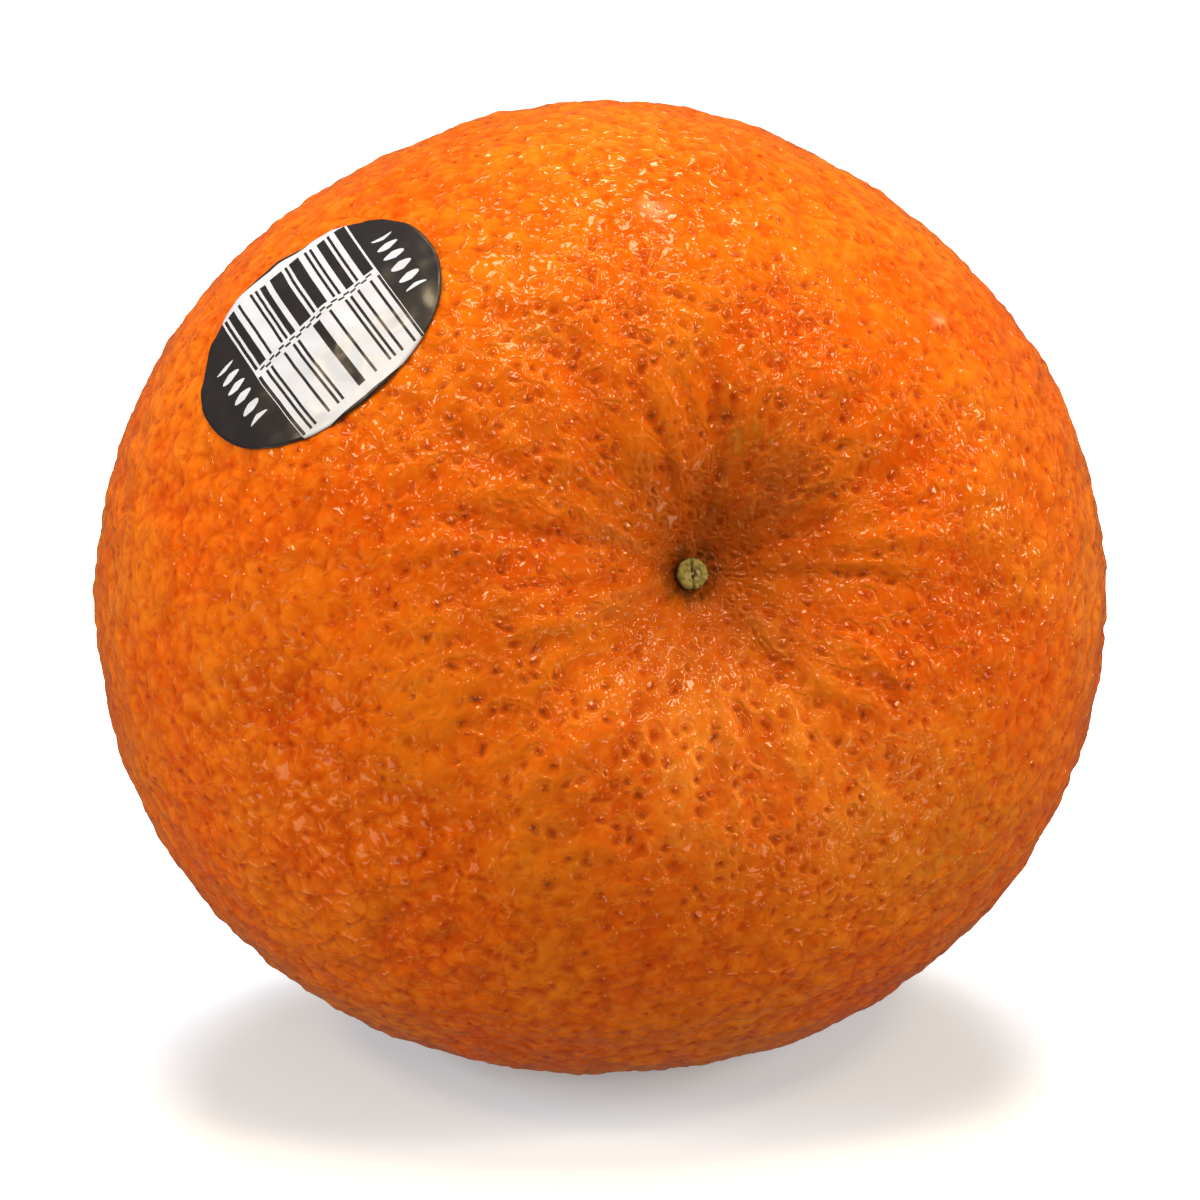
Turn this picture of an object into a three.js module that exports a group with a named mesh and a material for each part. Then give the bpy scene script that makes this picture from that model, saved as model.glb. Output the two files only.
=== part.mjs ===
// A picked mandarin: the whole fruit in its rind, the dried calyx button left at its stem
// end, and an oval label stuck on its shoulder. Millimetres, +Z up. The fruit lies on its
// side on a small flat spot, with the stem end facing -Y and a little upwards.
// Origin: the middle of the fruit's box, at the level of the flat.

import * as THREE from 'three';
import { mergeVertices } from 'three/addons/utils/BufferGeometryUtils.js';

const { degToRad } = THREE.MathUtils;

// ---- Driving dimensions ----

// The fruit's own frame has its stem axis along +Z. These angles lay it on its side.
const stemRise = degToRad(18); // the stem axis above level
const stemTurn = degToRad(14.8); // the stem axis from -Y towards +X

// The rind before its hollows: a squashed ball, a little squarer than an ellipse.
const equatorRadius = 34.4;
const poleRadius = 30;
const fullness = 2.15; // 2 is a plain ellipse
const flatCut = 1.05; // how much of the lowest rind the flat spot takes away

// The equator isn't round: it is wider than it is high, with three very soft corners.
// Each wave has a count around the stem axis, a size as a share of the radius and a place.
const equatorWaves = [
  { count: 2, size: 0.016, at: degToRad(-5) },
  { count: 3, size: 0.006, at: degToRad(90) },
];

// Where the fruit pressed on its neighbours and where it lies, its side is softly flatter.
// Each place is given by its angle from the stem axis and its angle around it.
const softFlats = [
  { fromStem: degToRad(85), around: degToRad(52), depth: 0.8, width: degToRad(24) },
  { fromStem: degToRad(85), around: degToRad(112), depth: 0.7, width: degToRad(22) },
  { fromStem: degToRad(107), around: degToRad(-90), depth: 0.9, width: degToRad(28) },
];

// The hollow at the stem end: a wide bowl with a narrower well in it.
const bowlDepth = 5.8;
const bowlRadius = 9.8;
const wellDepth = 1.3;
const wellRadius = 3.4;

// Furrows run out of the hollow over the shoulder, deepest at furrowRadius from the axis.
const furrowDepth = 0.34;
const furrowRadius = 8.5;
const furrowWaves = [
  { count: 5, share: 0.5, at: degToRad(8) },
  { count: 8, share: 0.5, at: degToRad(31) },
];

// The blossom end, on the far side, has a shallow dip.
const dipDepth = 1.1;
const dipRadius = 6;

// Facets of the rind, closer together at the stem end than at the blossom end.
const facetsAround = 72;
const facetsAlong = 46;
const stemCrowding = 0.35; // 0 would space them evenly

// Pieces that lie on the rind keep this far from it.
const clearance = 0.3;

// The calyx button: a low round disc with a pith hole.
const buttonRadius = 1.02;
const buttonHeight = 0.95;
const buttonEdge = 0.22; // rounding of its rim
const pithRadius = 0.2;
const pithDepth = 0.4;
const undersideSteps = 6;
const buttonSides = 32;

// The label: an oval a little fuller than an ellipse, wrapped on the rind.
const labelHalfLength = 9.25;
const labelHalfWidth = 7.75;
const labelFullness = 2.15;
const labelThickness = 0.15;
const labelFromStem = degToRad(57.9); // from the stem axis, at the fruit's centre
const labelAround = degToRad(141.2); // around the stem axis, from the fruit's own +X
const labelRoll = degToRad(158.7); // its long axis from the line around the fruit
const labelRings = 8;
const labelSides = 48;

// ---- The rind's surface ----

const bell = (distance, radius) => Math.exp(-((distance / radius) ** 2));

/** The direction at an angle from the stem axis and an angle around it. */
const onSphere = (fromStem, around) =>
  new THREE.Vector3(
    Math.sin(fromStem) * Math.cos(around),
    Math.sin(fromStem) * Math.sin(around),
    Math.cos(fromStem),
  );

const waveSum = (waves, around, weight) =>
  waves.reduce((sum, w) => sum + w[weight] * Math.cos(w.count * (around - w.at)), 0);

/** How far the stem hollow takes the rind down, at a distance from the stem axis. */
function hollowAt(distance) {
  return bowlDepth * bell(distance, bowlRadius) + wellDepth * bell(distance, wellRadius);
}

/** The furrows' part of it: waves around the axis, strongest at furrowRadius. */
function furrowsAt(distance, around) {
  const reach = (distance / furrowRadius) ** 2;
  const strength = reach * Math.exp(1 - reach);
  return furrowDepth * strength * waveSum(furrowWaves, around, 'share');
}

/** How much the soft flats take off the radius in a direction from the centre. */
function softFlatsAt(d) {
  return softFlats.reduce((sum, flat) => {
    const middle = onSphere(flat.fromStem, flat.around);
    return sum + flat.depth * bell(d.angleTo(middle), flat.width);
  }, 0);
}

/** The rind's point in a direction from the fruit's centre, in the fruit's own frame. */
function rindPoint(direction) {
  const d = direction.clone().normalize();
  const around = Math.atan2(d.y, d.x);
  const acrossShare = Math.hypot(d.x, d.y);
  const wavy = 1 + waveSum(equatorWaves, around, 'size') * acrossShare ** 2;
  const across = acrossShare / (equatorRadius * wavy);
  const along = Math.abs(d.z) / poleRadius;
  const radius = (across ** fullness + along ** fullness) ** (-1 / fullness);
  const point = d.clone().multiplyScalar(radius - softFlatsAt(d));
  const distance = Math.hypot(point.x, point.y);
  if (point.z > 0) {
    point.z -= hollowAt(distance) + furrowsAt(distance, around);
  } else {
    point.z += dipDepth * bell(distance, dipRadius);
  }
  return point;
}

/** The rind's outward normal in a direction, from two near neighbours of its point. */
function rindNormal(direction) {
  const step = 0.01;
  const d = direction.clone().normalize();
  const side = new THREE.Vector3(0, 0, 1).cross(d).normalize();
  const up = d.clone().cross(side);
  const here = rindPoint(d);
  const toSide = rindPoint(d.clone().addScaledVector(side, step)).sub(here);
  const toUp = rindPoint(d.clone().addScaledVector(up, step)).sub(here);
  return toSide.cross(toUp).normalize();
}

// ---- From the fruit's own frame to the frame that the part is used in ----

const laidOnSide = new THREE.Matrix4()
  .makeRotationZ(stemTurn)
  .multiply(new THREE.Matrix4().makeRotationX(Math.PI / 2 - stemRise));

/** Moves every vertex of a geometry by a function, and welds it into one closed body. */
function reshaped(geometry, move) {
  const position = geometry.getAttribute('position');
  const vertex = new THREE.Vector3();
  for (let i = 0; i < position.count; i += 1) {
    vertex.fromBufferAttribute(position, i);
    const moved = move(vertex);
    position.setXYZ(i, moved.x, moved.y, moved.z);
  }
  geometry.deleteAttribute('normal');
  geometry.deleteAttribute('uv');
  const welded = mergeVertices(geometry, 1e-4);
  welded.computeVertexNormals();
  return welded;
}

// ---- The pieces, in the fruit's own frame ----

/** The whole fruit: a ball of directions, each moved out to the rind. */
function fruitGeometry() {
  const ball = new THREE.SphereGeometry(1, facetsAround, facetsAlong);
  ball.rotateX(Math.PI / 2);
  return reshaped(ball, (vertex) => {
    const evenly = Math.acos(THREE.MathUtils.clamp(vertex.z, -1, 1));
    const fromStem = evenly - stemCrowding * Math.sin(evenly);
    return rindPoint(onSphere(fromStem, Math.atan2(vertex.y, vertex.x)));
  });
}

/** The calyx button: its underside follows the hollow's floor, its top is a low dome. */
function buttonGeometry() {
  const poleHeight = rindPoint(onSphere(0, 0)).z;
  const undersideAt = (distance) => poleHeight + hollowAt(0) - hollowAt(distance) + clearance;
  const top = poleHeight + clearance + buttonHeight;
  const profile = [];
  for (let i = 0; i < undersideSteps; i += 1) {
    const distance = (buttonRadius - buttonEdge) * (i / (undersideSteps - 1));
    profile.push(new THREE.Vector2(distance, undersideAt(distance)));
  }
  profile.push(new THREE.Vector2(buttonRadius, undersideAt(buttonRadius) + buttonEdge));
  profile.push(new THREE.Vector2(buttonRadius - buttonEdge / 2, top - buttonEdge / 2));
  profile.push(new THREE.Vector2(buttonRadius - 2 * buttonEdge, top));
  profile.push(new THREE.Vector2(pithRadius, top - buttonEdge / 2));
  profile.push(new THREE.Vector2(pithRadius, top - pithDepth));
  profile.push(new THREE.Vector2(0, top - pithDepth));
  const disc = new THREE.LatheGeometry(profile, buttonSides);
  disc.rotateX(Math.PI / 2);
  return reshaped(disc, (vertex) => vertex);
}

/** A flat round sheet of radius 1 and thickness 1, with rings of vertices on both faces. */
function roundSheet(rings, sides) {
  const profile = [];
  for (let i = 0; i <= rings; i += 1) {
    profile.push(new THREE.Vector2(i / rings, 0));
  }
  for (let i = rings; i >= 0; i -= 1) {
    profile.push(new THREE.Vector2(i / rings, 1));
  }
  return new THREE.LatheGeometry(profile, sides).rotateX(Math.PI / 2);
}

/** The label: a round sheet stretched to an oval and wrapped on the rind. */
function labelGeometry() {
  const middle = onSphere(labelFromStem, labelAround);
  const aroundFruit = new THREE.Vector3(0, 0, 1).cross(middle).normalize();
  const lengthwise = aroundFruit.applyAxisAngle(middle, labelRoll);
  const crosswise = middle.clone().cross(lengthwise);
  const fromCentre = rindPoint(middle).length();

  return reshaped(roundSheet(labelRings, labelSides), (vertex) => {
    const share = Math.hypot(vertex.x, vertex.y);
    const turn = Math.atan2(vertex.y, vertex.x);
    const long = Math.cos(turn);
    const wide = Math.sin(turn);
    const oval = (Math.abs(long) ** labelFullness + Math.abs(wide) ** labelFullness) **
      (-1 / labelFullness);
    const bend = new THREE.Vector2(long * labelHalfLength, wide * labelHalfWidth)
      .multiplyScalar((share * oval) / fromCentre);
    const size = bend.length();
    const direction = middle.clone().multiplyScalar(Math.cos(size));
    if (size > 0) {
      bend.multiplyScalar(Math.sin(size) / size);
      direction.addScaledVector(lengthwise, bend.x).addScaledVector(crosswise, bend.y);
    }
    const height = clearance + vertex.z * labelThickness;
    return rindPoint(direction).addScaledVector(rindNormal(direction), height);
  });
}

// ---- Assembly ----

const fruit = fruitGeometry().applyMatrix4(laidOnSide);
fruit.computeBoundingBox();
const box = fruit.boundingBox;
const toOrigin = new THREE.Matrix4().makeTranslation(
  -(box.min.x + box.max.x) / 2,
  -(box.min.y + box.max.y) / 2,
  -(box.min.z + flatCut),
);
const placed = toOrigin.clone().multiply(laidOnSide);

/** The fruit's lowest rind pressed flat at the level that it rests on. */
function pressedFlat(geometry) {
  return reshaped(geometry, (vertex) => vertex.setZ(Math.max(vertex.z, 0)));
}

function piece(name, geometry, color, roughness) {
  const material = new THREE.MeshStandardMaterial({ color, roughness, metalness: 0 });
  const mesh = new THREE.Mesh(geometry, material);
  mesh.name = name;
  return mesh;
}

const group = new THREE.Group();
group.add(piece('fruit', pressedFlat(fruit.applyMatrix4(toOrigin)), '#e8731a', 0.42));
group.add(piece('stem_button', buttonGeometry().applyMatrix4(placed), '#8f8a3c', 0.7));
group.add(piece('sticker', labelGeometry().applyMatrix4(placed), '#ececea', 0.35));

export default group;
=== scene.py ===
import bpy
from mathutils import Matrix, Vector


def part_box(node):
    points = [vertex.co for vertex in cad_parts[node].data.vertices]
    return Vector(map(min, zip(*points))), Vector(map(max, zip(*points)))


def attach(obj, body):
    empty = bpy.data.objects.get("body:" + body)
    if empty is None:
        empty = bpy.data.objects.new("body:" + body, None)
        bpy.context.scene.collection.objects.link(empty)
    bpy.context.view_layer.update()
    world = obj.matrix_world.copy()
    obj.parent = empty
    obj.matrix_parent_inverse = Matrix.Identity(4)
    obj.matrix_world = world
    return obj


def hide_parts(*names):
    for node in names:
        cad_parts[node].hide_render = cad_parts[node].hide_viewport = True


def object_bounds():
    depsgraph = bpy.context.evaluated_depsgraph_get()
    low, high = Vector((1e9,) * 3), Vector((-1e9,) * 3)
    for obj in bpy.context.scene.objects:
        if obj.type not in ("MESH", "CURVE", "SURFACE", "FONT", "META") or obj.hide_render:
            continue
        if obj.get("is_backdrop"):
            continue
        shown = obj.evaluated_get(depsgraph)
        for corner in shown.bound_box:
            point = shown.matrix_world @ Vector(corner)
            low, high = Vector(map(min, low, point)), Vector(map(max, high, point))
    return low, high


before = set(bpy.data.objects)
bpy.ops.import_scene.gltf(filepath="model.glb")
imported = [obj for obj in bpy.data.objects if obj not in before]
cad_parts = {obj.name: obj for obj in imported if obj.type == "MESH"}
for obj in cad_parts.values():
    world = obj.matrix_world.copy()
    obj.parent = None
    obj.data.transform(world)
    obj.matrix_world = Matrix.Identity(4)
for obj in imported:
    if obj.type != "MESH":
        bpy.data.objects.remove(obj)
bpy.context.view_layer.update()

# A mandarin on a white studio floor. Lengths are in millimetres, which placed() turns into
# metres, and angles in degrees; only the floor and the lamps are given in metres.
import math

import bpy
import numpy as np

MM = 0.001  # a millimetre in metres
STEM_AXIS = np.array([0.0, 0.0, 1.0])  # in the fruit's own frame
UPWARD = np.array([0.0, 0.0, 1.0])  # in the part's frame


# ---------------------------------------------------------------- driving dimensions

# The fruit lies on its side: its own frame has the stem axis along +Z.
STEM_RISE = 18.0  # the stem axis above level
STEM_TURN = 14.8  # the stem axis from -Y towards +X

EQUATOR_RADIUS = 34.4
POLE_RADIUS = 30.0
FULLNESS = 2.15  # 2 is a plain ellipse, more is squarer
FLAT_CUT = 1.05  # rind that the flat spot takes away
FLAT_SOFTNESS = 0.35  # how gently the rind turns into the flat

# Count around the stem axis, size as a share of the radius, place.
EQUATOR_WAVES = ((2, 0.016, -5.0), (3, 0.006, 90.0))

# Softly flatter places: angle from the stem, angle around it, depth, width of the bell.
SOFT_FLATS = ((85.0, 52.0, 0.8, 24.0), (85.0, 112.0, 0.7, 22.0), (107.0, -90.0, 0.9, 28.0))

BOWL = (5.8, 9.8)  # depth and radius of the hollow at the stem end
WELL = (1.3, 3.4)  # and of the narrower well in its middle
DIP = (1.1, 6.0)  # and of the dip at the blossom end

FURROW_DEPTH = 0.34
FURROW_RADIUS = 8.5
FURROW_WAVES = ((5, 0.5, 8.0), (8, 0.5, 31.0))

# The rind's mesh: cells along each side of six patches, and how they crowd to the stem.
PATCH_CELLS = 128
STEM_CROWDING = 0.14

# The unevenness of the skin under its glands: the size of a noise and its depth.
LUMPS = (5.5, 0.5)
BUMPS = (2.3, 0.55)
CALM = (0.8, 2.2)  # the share by which it calms down at the button, and how far out

# Wrinkles run out from the button: a noise read on a tube that is climbed slowly on the way
# out, so drawn out along the radius, and strongest on the hollow's shoulder.
WRINKLE_DEPTH = 1.6
WRINKLE_SIZE = 2.0  # of the noise, on the tube
WRINKLE_TUBE = (9.0, 0.2)  # its radius, and the climb for a millimetre from the stem axis
WRINKLE_SHOULDER = (13.0, 9.0)  # distance from the stem axis, and width of the bell
WRINKLE_START = (2.0, 6.0)  # no wrinkles nearer than this, and all of them from here

# The oil glands of the peel: dimples near the stem, and beads of skin further out.
GLAND_SPACING = 1.05
GLAND_DEPTH = 0.24
PORE_SPACING = 0.74
BEAD_SPACING = 1.25
BEAD_HEIGHT = 0.2
BEAD_CROWN = 1.7  # how steeply a bead falls off, with the distance in spacings squared
BEADED = (15.0, 27.0)  # from the stem axis: dimpled skin before this, beaded skin after it
DIMPLES_AMONG_BEADS = 0.2  # the share of a dimple's depth that is left there
RIM_WAVE = 0.7  # a gland's raised ring lies at half of this, in gland spacings
PATCH_SPACING = 0.8
GRAIN_SPACING = 0.42
CLOUD_SPACING = 9.0
DRIFT = (1.1, 5 / 3)  # how far the patterns are pushed about, and over what length
STEM_FINENESS = 0.4  # how much finer the patterns are round the button
STEM_REACH = 8.0  # and how far out from it
SKIN_BUMP = 0.9  # how far the matt skin under the wax follows the fine relief

# Soft marks of the skin: angle from the stem, angle around it, width in degrees, strength.
# The first pale mark, just below the button, is painted light on the hollow's lower wall.
PALE_AND_PAINTED_LIGHT_MARKS = ((22.0, -95.0, 12.0, 0.6), (33.0, -55.0, 9.0, 0.4), (58.0, -7.0, 9.0, 0.4))
# The second dark mark is painted shade on the hollow's upper wall; the other two darken two dents.
DARK_AND_PAINTED_SHADE_MARKS = ((54.0, -167.0, 5.0, 0.5), (15.0, 50.0, 9.0, 0.9), (36.0, -9.0, 8.0, 0.4))
OLIVE_MARKS = (
    (51.0, -48.0, 11.0, 0.4), (35.0, 121.0, 2.5, 0.5), (19.0, 66.0, 4.0, 0.3),
    (180.0, 0.0, 8.0, 0.3),
)
WAX_MARKS = ((46.0, 91.0, 1.2, 0.5), (47.0, 40.0, 0.9, 0.4))
SCAR_MARKS = ((180.0, 0.0, 1.5, 1.0),)  # where the flower was
SKIN_MARKS = {
    "pale": PALE_AND_PAINTED_LIGHT_MARKS, "dark": DARK_AND_PAINTED_SHADE_MARKS, "olive": OLIVE_MARKS, "wax": WAX_MARKS,
    "scar": SCAR_MARKS,
}
# Dents are placed like the marks, and their strength is a depth.
DENTS = ((54.0, -167.0, 5.0, 0.6), (36.0, -9.0, 6.0, 0.4), (180.0, 0.0, 2.2, 0.6))

# The label, wrapped on the shoulder of the fruit.
LABEL_PLACE = (57.9, 141.2)  # angle from the stem and around it
LABEL_ROLL = 158.7  # its long axis from the line around the fruit
LABEL_HALF = (9.25, 7.75)
LABEL_FULLNESS = 2.15
LABEL_THICKNESS = 0.08
LABEL_LIFT = 0.16  # its underside above the smooth rind: it lies on the peaks
LABEL_PRESS = 0.7  # the share of the glands' relief that it hides under it
CREASE_HEIGHT = 0.28  # a crease lifts its upper edge in one place
CREASE_AT = -1.5  # along the edge
CREASE_REACH = (2.6, 1.625)  # along the edge and across it

# Its print: bars on a white panel, a stepped line between them, leaves on the dark ends.
PANEL_MIDDLE = 0.25
PANEL_HALF = (5.15, 7.42)
LINE_HALF = (4.7, 0.09)
LINE_STEP = (0.1, 7.0)  # its height to each side, and the steps' radians in a millimetre
BAR_UNIT = 0.2  # the thinnest printed bar
BAR_ROW = (3.5, 3.1)  # a row's middle from the line, and its half height
UPPER_BARS = (1, 1, 3, 2, 1, 4, 1, 1, 1, 1, 2, 2, 5, 1, 1, 1, 4, 2, 1, 1, 1, 2, 3, 1, 1, 2, 4)
LOWER_BARS = (1, 2, 1, 1, 1, 5, 1, 3, 1, 1, 1, 6, 3, 4, 1, 5, 1, 1, 1, 2, 1, 4, 1, 2, 1)
LEAF_AT = 6.6  # from the panel's middle
LEAF_HALF = (0.75, 0.36)
LEAF_PITCH = 1.2
LEAF_ROW = 3.0  # half the length of a row
FILM_WAVES = (1.6, 0.05)  # size and depth of the waves in the clear film over the print

# The dried calyx button. Its heights are above the rind at the stem axis.
BUTTON_RADIUS = 1.02
BUTTON_TOP = 1.1
BUTTON_UNDERSIDE = -0.1
BUTTON_EDGE = 0.22  # rounding of its rim
PITH_HOLE = (0.36, 0.12, 0.36)  # depth, distance from the middle, radius
SPLIT = (0.16, 0.07)  # depth and half width
FIBRE_ENDS = (0.0, 0.32)  # their places across the hole
FIBRE = (0.28, 0.1)  # height and radius
PITH_MIDDLE = (0.16, 0.0, 0.9)  # the middle of the fibre ends, across and up
WOOD_GRAIN = (0.28, 0.06)  # size and depth of the dried surface's grain

# The camera looks at the middle of the part's box, a little off it.
CAMERA_RISE = 16.0
LENS, SENSOR = 120.0, 36.0
VIEW_WIDTH = 83.57  # at the point that it looks at
LOOK_OFF = (-0.14, -0.67, -1.6)


# ---------------------------------------------------------------- small helpers

def bell(distance, radius):
    """A bell curve: one at nought, falling off within the radius."""
    return np.exp(-((distance / radius) ** 2))


def smooth(low, high, x):
    """Nought below low, one above high, and an S-curve between."""
    t = np.clip((x - low) / (high - low), 0, 1)
    return t * t * (3 - 2 * t)


def unit(v):
    """Vectors of length one."""
    return v / np.linalg.norm(v, axis=-1, keepdims=True)


def superellipse(x, y, power):
    """How far out of a squarish oval with half axes of one a place lies: 1 on its edge."""
    return (np.abs(x) ** power + np.abs(y) ** power) ** (1 / power)


def on_sphere(from_stem, around):
    """The direction at an angle from the stem axis and an angle around it, in degrees."""
    a, b = np.radians(from_stem), np.radians(around)
    return np.stack([np.sin(a) * np.cos(b), np.sin(a) * np.sin(b), np.cos(a) + 0 * b], -1)


def linear(hex_colour):
    """An sRGB hex colour as linear red, green, blue and a full alpha."""
    part = np.array([int(hex_colour[i:i + 2], 16) for i in (1, 3, 5)]) / 255
    value = np.where(part <= 0.04045, part / 12.92, ((part + 0.055) / 1.055) ** 2.4)
    return (*value.tolist(), 1.0)


# ---------------------------------------------------------------- the rind's smooth shape

def wave_sum(waves, around):
    """The sum of cosines around the stem axis, each with its count, size and place."""
    return sum(s * np.cos(n * (around - math.radians(at))) for n, s, at in waves)


def hollow_at(distance):
    """How far the stem hollow takes the rind down: a wide bell and a narrow one."""
    return BOWL[0] * bell(distance, BOWL[1]) + WELL[0] * bell(distance, WELL[1])


def furrows_at(distance, around):
    """Radial furrows: waves around the axis, strongest at the furrow radius."""
    reach = (distance / FURROW_RADIUS) ** 2
    return FURROW_DEPTH * reach * np.exp(1 - reach) * wave_sum(FURROW_WAVES, around)


def rind(direction):
    """The smooth rind's points in some directions from the fruit's centre.

    A superellipsoid whose equator is wavy, less the soft flats; then the stem hollow and
    its furrows move the stem half down, and a bell dips the blossom end.
    """
    d = unit(direction)
    around = np.arctan2(d[..., 1], d[..., 0])
    level = np.hypot(d[..., 0], d[..., 1])
    equator = EQUATOR_RADIUS * (1 + wave_sum(EQUATOR_WAVES, around) * level ** 2)
    across, along = level / equator, np.abs(d[..., 2]) / POLE_RADIUS
    radius = (across ** FULLNESS + along ** FULLNESS) ** (-1 / FULLNESS)
    for from_stem, place, depth, width in SOFT_FLATS:
        angle = np.arccos(np.clip(d @ on_sphere(from_stem, place), -1, 1))
        radius = radius - depth * bell(angle, math.radians(width))
    point = d * radius[..., None]
    distance = np.hypot(point[..., 0], point[..., 1])
    down = hollow_at(distance) + furrows_at(distance, around)
    up = DIP[0] * bell(distance, DIP[1])
    point[..., 2] += np.where(point[..., 2] > 0, -down, up)
    return point


def rind_normal(direction):
    """The smooth rind's outward normal, from two near neighbours of each point."""
    step = 0.01
    d = unit(direction)
    helper = np.where(np.abs(d[..., 2:]) < 0.9, STEM_AXIS, np.array([1.0, 0.0, 0.0]))
    side = unit(np.cross(helper, d))
    up = np.cross(d, side)
    here = rind(d)
    return unit(np.cross(rind(d + step * side) - here, rind(d + step * up) - here))


def laid_axes():
    """The fruit frame's axes in the part's frame, as rows: the fruit laid on its side."""
    rise, turn = math.radians(STEM_RISE), math.radians(STEM_TURN)
    right = np.array([math.cos(turn), math.sin(turn), 0.0])
    level = np.array([math.sin(turn), -math.cos(turn), 0.0])
    stem = math.cos(rise) * level + math.sin(rise) * UPWARD
    return np.stack([right, np.cross(stem, right), stem])


AXES = laid_axes()


def fruit_centre():
    """The centre of the fruit: its smooth box is centred on the CAD fruit's box, and its
    lowest point is the flat's cut below that box."""
    lo, hi = (np.array(corner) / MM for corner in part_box("fruit"))
    from_stem, around = np.meshgrid(np.linspace(0, 180, 241), np.linspace(-180, 180, 361))
    points = rind(on_sphere(from_stem, around)).reshape(-1, 3) @ AXES
    low, high = points.min(0), points.max(0)
    middle = (lo + hi) / 2 - (low + high) / 2
    return np.array([middle[0], middle[1], lo[2] - FLAT_CUT - low[2]])


CENTRE = fruit_centre()


def placed(points):
    """Points of the fruit's own frame in the part's frame, in metres."""
    return (points @ AXES + CENTRE) * MM


# ---------------------------------------------------------------- meshes

def new_object(name, data):
    """An object of the scene at the origin, for a mesh, a lamp or a camera."""
    thing = bpy.data.objects.new(name, data)
    bpy.context.scene.collection.objects.link(thing)
    return thing


def mesh_object(name, vertices, *faces):
    """A smooth mesh from an array of vertices and arrays of faces."""
    mesh = bpy.data.meshes.new(name)
    mesh.from_pydata(vertices.tolist(), [], [face for some in faces for face in some.tolist()])
    mesh.polygons.foreach_set("use_smooth", np.full(len(mesh.polygons), True))
    mesh.update()
    return new_object(name, mesh)


def add_attribute(piece, name, values):
    """A number for each vertex, which a material can read by its name."""
    layer = piece.data.attributes.new(name, "FLOAT", "POINT")
    layer.data.foreach_set("value", np.asarray(values, np.float32))


def grid_faces(rows, columns, wrap=False):
    """Quads over a grid of vertices counted row by row, its last column joined to its first
    where it wraps."""
    index = np.arange(rows * columns).reshape(rows, columns)
    if wrap:
        index = np.concatenate([index, index[:, :1]], 1)
    a, b = index[:-1, :-1], index[:-1, 1:]
    c, d = index[1:, 1:], index[1:, :-1]
    return np.stack([a, b, c, d], -1).reshape(-1, 4)


def cube_directions(cells):
    """Unit directions and quads of a ball made of six patches of cells by cells.

    A patch point is (1, tan a, tan b) with both angles between -45 and 45 degrees, so that
    the cells are nearly alike; the six patches turn and swap its axes. Points shared by
    patches are welded.
    """
    angle = np.radians(np.linspace(-45, 45, cells + 1))
    a, b = (np.tan(x).ravel() for x in np.meshgrid(angle, angle, indexing="ij"))
    one = np.ones_like(a)
    patches = [
        (one, a, b), (-one, b, a), (b, one, a), (a, -one, b), (a, b, one), (b, a, -one),
    ]
    points = unit(np.concatenate([np.stack(p, -1) for p in patches]))
    one_patch = grid_faces(cells + 1, cells + 1)
    faces = np.concatenate([one_patch + i * (cells + 1) ** 2 for i in range(6)])
    rounded = np.round(points, 6) + 0.0
    _, first, same = np.unique(rounded, axis=0, return_index=True, return_inverse=True)
    return points[first], same.ravel()[faces]


def fan_faces(middle, ring):
    """Triangles from a middle vertex to each side of a closed ring of vertices."""
    return np.stack([np.full(len(ring), middle), ring, np.roll(ring, -1)], -1)


# ---------------------------------------------------------------- nodes

def add(tree, kind, inputs=None, out=0, **settings):
    """Adds a node with its settings and links, and gives back one of its outputs.

    inputs maps a socket's name or number to a value or to another node's output.
    """
    node = tree.nodes.new(kind)
    for key, value in settings.items():
        setattr(node, key, value)
    for key, value in (inputs or {}).items():
        if isinstance(value, bpy.types.NodeSocket):
            tree.links.new(value, node.inputs[key])
        else:
            node.inputs[key].default_value = value
    return node.outputs[out] if node.outputs else None


def new_material(name):
    """A material with no nodes yet, and its tree."""
    material = bpy.data.materials.new(name)
    material.use_nodes = True
    material.node_tree.nodes.clear()
    return material, material.node_tree


# The kinds of node that the patterns below use most, and settings that go with them.
MATH, MAP, NOISE, CELLS = (
    "ShaderNodeMath", "ShaderNodeMapRange", "ShaderNodeTexNoise", "ShaderNodeTexVoronoi",
)
S_CURVE = {"interpolation_type": "SMOOTHSTEP"}  # for MAP: 0 value, 1 to 2 in, 3 to 4 out
COLOURS = {"data_type": "RGBA", "out": 2}  # for a Mix node: 0 share, 6 and 7 colours


# ---------------------------------------------------------------- the peel's relief

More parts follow.
